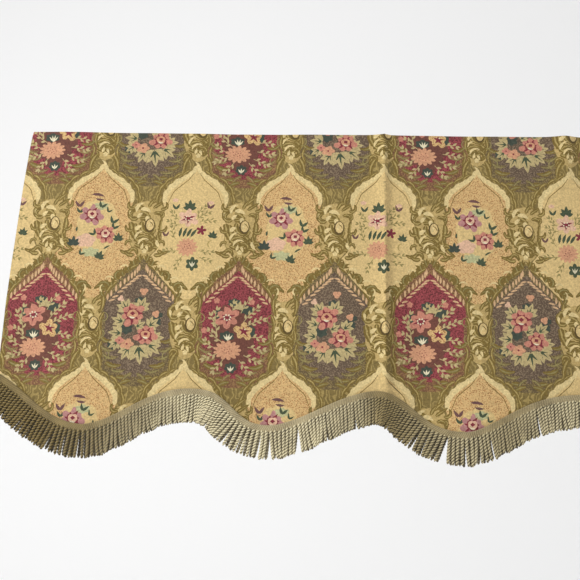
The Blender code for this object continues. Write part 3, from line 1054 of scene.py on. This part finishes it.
def build_header():
    """The braid as one closed strip along the hem."""
    points, down, targets = hem_stations(STRAND_PITCH / CELLS_PER_STRAND)
    rings, painted_lights = [], []
    for index, edge in enumerate(HEADER_SECTION):
        flat = points + down * (HEADER_HEIGHT * edge.down)
        weave = np.sin(2 * math.pi * (targets / RIB_PITCH + RIB_SLANT * index))
        out = HEADER_THICKNESS * edge.out + HEADER_RELIEF * edge.relief * weave
        y = header_back(flat[:, 0], flat[:, 1]) - out
        rings.append(np.stack([flat[:, 0], y, flat[:, 1]], 1))
        # Painted highlight on each rib's top and painted shade in its groove, following the relief's wave.
        painted_lights.append(RIB_PAINTED_LIGHT + RIB_PAINTED_SWING * weave * min(1.0, edge.relief * 2))
    sides = len(HEADER_SECTION)
    places = np.stack(rings, 1)
    caps = [places[0].mean(0), places[-1].mean(0)]
    flat_places = np.concatenate([places.reshape(-1, 3), np.array(caps)])
    faces = [tuple(f) for f in ring_faces(len(points), sides)]
    total = len(points) * sides
    last = total - sides
    for i in range(sides):
        j = (i + 1) % sides
        faces += [(total, j, i), (total + 1, last + i, last + j)]
    mesh = bpy.data.meshes.new("fringe_header")
    mesh.from_pydata([tuple(p) for p in flat_places], [], faces)
    # Each point's painted light; the two end caps' points are painted darkest, as painted shade.
    mark_painted_light(mesh, np.concatenate([np.stack(painted_lights, 1).ravel(), [0.0, 0.0]]))
    mesh.shade_smooth()
    return in_scene("fringe_header", mesh)


# How pale the yarn is along the hem, in stretches: 0 is the darker olive, 1 the palest khaki.
PalenessStop = namedtuple("PalenessStop", "x fade")
YARN_PALENESS = [PalenessStop(*row) for row in (
    (-0.58, 0.00), (-0.52, 0.10), (-0.43, 0.45), (-0.33, 0.95),
    (-0.13, 0.95), (-0.06, 0.65), (-0.01, 0.12), (0.14, 0.60),
    (0.19, 0.40), (0.30, 0.75), (0.45, 0.60), (0.62, 0.75),
)]
PALENESS_START, PALENESS_SPAN = -0.70, 1.40


def colour_ramp(tree, source, stops, ease="LINEAR"):
    """A colour ramp with these (position, colour) stops."""
    node = add_node(tree, "ValToRGB", {"Fac": source})
    node.color_ramp.interpolation = ease
    elements = node.color_ramp.elements
    for number, (position, colour) in enumerate(stops):
        if number > 1:
            elements.new(position)
        elements[number].position = position
        elements[number].color = (*colour, 1.0)
    return node.outputs["Color"]


def cord_material(name, paler, olive):
    """Twisted cotton yarn with painted shade in the grooves of its twist and painted highlight on its tops, from the
    painted light attribute; paler and darker in stretches along the hem.
    """
    material, tree, shader = new_material(name, {
        "Roughness": 0.72, "Sheen Weight": 0.2, "Sheen Roughness": 0.45,
    })
    where = add_node(tree, "TexCoord", {}).outputs["Object"]
    grain = add_node(tree, "TexNoise", {
        "Vector": where, "Scale": 600.0, "Detail": 2.0, "Roughness": 0.6}).outputs["Fac"]
    patches = add_node(tree, "TexNoise", {"Vector": where, "Scale": 45.0, "Detail": 1.0})
    painted_light = add_node(tree, "Attribute", {}, attribute_name="painted_light")
    uneven = worked(tree, "ADD", grain, patches.outputs["Fac"])
    lower = worked(tree, "SUBTRACT", painted_light.outputs["Fac"], 0.5)
    blend = worked(tree, "MULTIPLY_ADD", uneven, 0.5, lower)
    apart = add_node(tree, "SeparateXYZ", {0: where})
    along = ranged(tree, apart.outputs["X"], PALENESS_START, PALENESS_START + PALENESS_SPAN)
    # How pale the yarn is at each place along X; fade is that paleness, from 0 for the darker olive to 1 for the
    # paler khaki.
    fade = colour_ramp(tree, along, [
        ((stop.x - PALENESS_START) / PALENESS_SPAN, (stop.fade,) * 3) for stop in YARN_PALENESS], "EASE")
    # Each ramp runs from the yarn's painted groove shade, its dark colour, to its colour with painted highlight, its
    # light one; old is the darker olive yarn, pale the paler khaki.
    pale, old = (
        colour_ramp(tree, blend, [(0.25, linear(dark)), (0.85, linear(light))])
        for light, dark in (paler, olive)
    )
    mixed = add_node(tree, "Mix", {0: fade, MIX_A: old, MIX_B: pale}, data_type="RGBA")
    bump = add_node(tree, "Bump", {"Height": grain, "Strength": 0.4, "Distance": 0.0004})
    tree.links.new(mixed.outputs[MIXED], shader.inputs["Base Color"])
    tree.links.new(bump.outputs["Normal"], shader.inputs["Normal"])
    return material


header = build_header()
# The pairs are the yarn's lit colour and its painted groove shade: paler khaki first, then the darker olive.
header.data.materials.append(cord_material("khaki braid", ("bdae88", "5c4f31"), ("8a7644", "382c13")))
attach(header, "root")


# Bullion cords
# Each cord is a loop of cotton yarn twisted back on itself, two plies with a
# round tip. They hang from the header in two layers, leaning across it where
# the hem falls, where they lap over those of the peak, and parting here and there.
CORD_LENGTH = 0.0465
HELIX_RADIUS = 0.00145
PLY_RADIUS = 0.00160
TWIST_PITCH = 0.0100
PLY_SIDES = 6
CORD_STEPS = 42
# Near its tip a cord grows thinner: over this share of its length, down to
# these shares of its two radii.
TIP_SPAN, TIP_HELIX, TIP_PLY = 0.10, 0.25, 0.45
# The rear layer's distance, the painted shade on the sides of the cords that face the other layer, and where a cord
# starts in the header.
REAR_LAYER, PAINTED_SHADE_BETWEEN_LAYERS = 0.0024, 0.45
ROOT_DOWN, ROOT_OUT = 0.86, 0.6
# How much of the hem's slope the cords lean with, where it falls and climbs.
LEAN_DROP, LEAN_CLIMB = 0.92, 0.18
# Waves of bending along the hem: height, length and phase.
BEND_WAVES = ((0.0022, 0.047, 0.0), (0.0016, 0.029, 1.0))
# How uneven the cords are by chance, in radians and metres.
LEAN_CHANCE, LENGTH_CHANCE, BEND_CHANCE, LIFT_CHANCE = math.radians(0.9), 0.0007, 0.0005, 0.0012
SEED = 7


def cord_leans(down):
    """Each cord's lean from straight down, towards +X."""
    slope = np.arctan2(down[:, 0], -down[:, 1])
    return np.where(slope < 0.0, slope * LEAN_DROP, slope * LEAN_CLIMB)


# Where the cords part: its place along X, how far each side turns away, and
# how far that turn reaches to the left and to the right.
Parting = namedtuple("Parting", "x turn_left turn_right reach_left reach_right")
PARTINGS = [Parting(*row) for row in (
    (-0.3118, 1.5, 2.0, 0.020, 0.012), (-0.2140, 3.0, 3.0, 0.012, 0.012),
    (-0.1950, 3.0, 3.0, 0.012, 0.014), (-0.1460, 6.0, 6.0, 0.020, 0.018),
    (0.0880, 12.0, 6.0, 0.028, 0.016), (0.1328, 2.0, 2.5, 0.010, 0.010),
    (0.1475, 3.0, 4.0, 0.010, 0.012), (0.1723, 2.0, 2.5, 0.010, 0.012),
    (0.2507, 4.0, 4.0, 0.016, 0.016),
)]
Cord = namedtuple("Cord", "root lean length bend lift phase behind")


def cord_tube_faces():
    """One ply's quads. The ends are closed with two each, in the direction of the sides."""
    base = CORD_STEPS * PLY_SIDES
    first = [(0, 5, 4, 3), (0, 3, 2, 1)]
    last = [(base, base + 1, base + 2, base + 3), (base, base + 3, base + 4, base + 5)]
    return np.concatenate([ring_faces(CORD_STEPS + 1, PLY_SIDES), first, last])


def join_plies(name, groups, one):
    """One mesh from many groups of places that share their faces' pattern."""
    places = np.concatenate(groups)
    starts = np.arange(len(groups)) * len(groups[0])
    quads = (one[None] + starts[:, None, None]).reshape(-1, 4)
    mesh = bpy.data.meshes.new(name)
    mesh.vertices.add(len(places))
    mesh.vertices.foreach_set("co", places.astype(np.float32).ravel())
    mesh.loops.add(quads.size)
    mesh.loops.foreach_set("vertex_index", quads.astype(np.int32).ravel())
    mesh.polygons.add(len(quads))
    mesh.polygons.foreach_set("loop_start", np.arange(0, quads.size, 4, dtype=np.int32))
    mesh.update(calc_edges=True)
    return mesh


def build_cords(name, cords):
    """Two plies for each cord, turned round a line that leans and sways."""
    front = np.array([0.0, -1.0, 0.0])
    s = np.linspace(0.0, 1.0, CORD_STEPS + 1)
    near_tip = np.clip((1.0 - s) / TIP_SPAN, 0.0, 1.0) ** 0.5
    helix = HELIX_RADIUS * (TIP_HELIX + (1.0 - TIP_HELIX) * near_tip)
    ply = PLY_RADIUS * (TIP_PLY + (1.0 - TIP_PLY) * near_tip)
    turn = 2 * math.pi * np.arange(PLY_SIDES) / PLY_SIDES
    groups, painted_lights = [], []
    for cord in cords:
        way = np.array([math.sin(cord.lean), 0.0, -math.cos(cord.lean)])
        side = np.array([math.cos(cord.lean), 0.0, math.sin(cord.lean)])
        angle = 2 * math.pi * cord.length * s / TWIST_PITCH + cord.phase
        sway = cord.bend * (1.6 * s * s - 0.6 * s)
        lift = cord.lift * soft_step(s * 1.6)
        line = cord.root + way * (cord.length * s)[:, None] + side * sway[:, None] + front * lift[:, None]
        for half_turn in (0.0, math.pi):
            a = angle + half_turn
            radial = np.cos(a)[:, None] * side + np.sin(a)[:, None] * front
            round_way = -np.sin(a)[:, None] * side + np.cos(a)[:, None] * front
            tangent = way + round_way * (2 * math.pi * helix / TWIST_PITCH)[:, None]
            tangent /= np.linalg.norm(tangent, axis=1)[:, None]
            across = np.cross(tangent, radial)
            centre = line + radial * helix[:, None]
            ring = (
                centre[:, None, :]
                + (ply[:, None] * np.cos(turn))[..., None] * radial[:, None, :]
                + (ply[:, None] * np.sin(turn))[..., None] * across[:, None, :]
            )
            groups.append(ring.reshape(-1, 3))
            # Painted shade: each ply is darker towards the cord's axis, in the groove between the plies, and on the
            # side turned towards the other layer of cords.
            facing = ((ring - line[:, None, :]) @ front) / (HELIX_RADIUS + PLY_RADIUS)
            lit = np.clip(0.5 + 0.5 * np.where(cord.behind, -facing, facing) * 1.5, 0.0, 1.0)
            painted_lights.append(((0.5 + 0.5 * np.cos(turn)) * (PAINTED_SHADE_BETWEEN_LAYERS + (1.0 - PAINTED_SHADE_BETWEEN_LAYERS) * lit)).ravel())
    mesh = join_plies(name, groups, cord_tube_faces())
    mark_painted_light(mesh, np.concatenate(painted_lights))
    mesh.shade_smooth()
    return in_scene(name, mesh)


edge_points, edge_down, edge_reach = hem_stations(STRAND_PITCH / 2)
count = len(edge_points)
cord_tops = edge_points + edge_down * (HEADER_HEIGHT * ROOT_DOWN)
leans = cord_leans(edge_down)
for parting in PARTINGS:
    away = cord_tops[:, 0] + np.sin(leans) * CORD_LENGTH - parting.x
    left = away < 0
    leans += np.where(left, -np.radians(parting.turn_left) * np.exp(away / parting.reach_left * left), 0.0)
    leans += np.where(~left, np.radians(parting.turn_right) * np.exp(-away / parting.reach_right * ~left), 0.0)
rng = np.random.default_rng(SEED)
leans = leans + rng.normal(0.0, LEAN_CHANCE, count)
lengths = CORD_LENGTH + rng.normal(0.0, LENGTH_CHANCE, count)
bends = sum(high * np.sin(2 * math.pi * edge_reach / long + phase) for high, long, phase in BEND_WAVES)
bends = bends + rng.normal(0.0, BEND_CHANCE, count)
behind = np.arange(count) % 2 == 1
lifts = rng.uniform(0.0, LIFT_CHANCE, count)
phases = rng.uniform(0.0, 2 * math.pi, count)
root_y = header_back(cord_tops[:, 0], cord_tops[:, 1]) - HEADER_THICKNESS * ROOT_OUT
root_y = root_y + np.where(behind, REAR_LAYER, 0.0)
roots = np.stack([cord_tops[:, 0], root_y, cord_tops[:, 1]], 1)
cords = [Cord(*row) for row in zip(roots, leans, lengths, bends, lifts, phases, behind)]
# The pairs are the yarn's lit colour and its painted groove shade: paler khaki first, then the darker olive.
cord_khaki = cord_material("khaki cord", ("ddd1aa", "433419"), ("7d6935", "191205"))
ends = [-1.0, *(run.x for run in HEM_RUNS[1:-1:2]), 1.0]
for number, (low, high) in enumerate(zip(ends, ends[1:])):
    piece = build_cords(f"bullion_cords_{number + 1}", [cord for cord in cords if low <= cord.root[0] < high])
    piece.data.materials.append(cord_khaki)
    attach(piece, "root")
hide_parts("bullion_fringe")


# Studio
# The valance hangs clear of a pale wall over a pale floor, in soft daylight
# from the upper left.
FLOOR_Z = -1.35
WALL_Y, WALL_Z = 3.2, 2.0
STAGE_COLOUR = "fbfbfb"
ROOM_LIGHT = 0.72
WINDOW_POWER = 85.0


def stage_sheet(name, width, depth, place, turn):
    """One flat sheet of the studio."""
    bpy.ops.mesh.primitive_plane_add(size=1.0, location=place, rotation=turn)
    sheet = bpy.context.object
    sheet.name = name
    sheet.scale = (width, depth, 1.0)
    looks = {"Base Color": (*linear(STAGE_COLOUR), 1.0), "Roughness": 0.95}
    sheet.data.materials.append(new_material(name, looks)[0])


stage_sheet("floor", 14.0, 14.0, (0.0, 0.0, FLOOR_Z), (0.0, 0.0, 0.0))
stage_sheet("wall", 14.0, 9.0, (0.0, WALL_Y, WALL_Z), (math.radians(90.0), 0.0, 0.0))

world = bpy.data.worlds.new("pale room")
bpy.context.scene.world = world
world.use_nodes = True
world.node_tree.nodes["Background"].inputs["Color"].default_value = (1.0, 1.0, 1.0, 1.0)
world.node_tree.nodes["Background"].inputs["Strength"].default_value = ROOM_LIGHT

WINDOW_PLACE = (-2.6, -1.7, 1.2)
WINDOW_AIM = (0.0, 0.0, -0.3)
window = bpy.data.lights.new("window", "AREA")
window.shape = "RECTANGLE"
window.size, window.size_y = 1.4, 1.4
window.energy = WINDOW_POWER
lamp = in_scene("window", window)
lamp.location = WINDOW_PLACE
lamp.rotation_mode = "QUATERNION"
lamp.rotation_quaternion = (Vector(WINDOW_AIM) - Vector(WINDOW_PLACE)).to_track_quat("-Z", "Y")

CAMERA_PLACE = (-0.1651, -1.2605, -0.5498)
CAMERA_TILT = math.radians(11.77)
CAMERA_ROLL = math.radians(0.58)
camera_data = bpy.data.cameras.new("camera")
camera_data.sensor_width = 36.0
camera_data.lens = 46.55
camera = in_scene("camera", camera_data)
camera.matrix_world = (
    Matrix.Translation(CAMERA_PLACE)
    @ Matrix.Rotation(math.radians(90.0) + CAMERA_TILT, 4, "X")
    @ Matrix.Rotation(CAMERA_ROLL, 4, "Z")
)
bpy.context.scene.camera = camera
bpy.context.scene.view_settings.view_transform = "Standard"
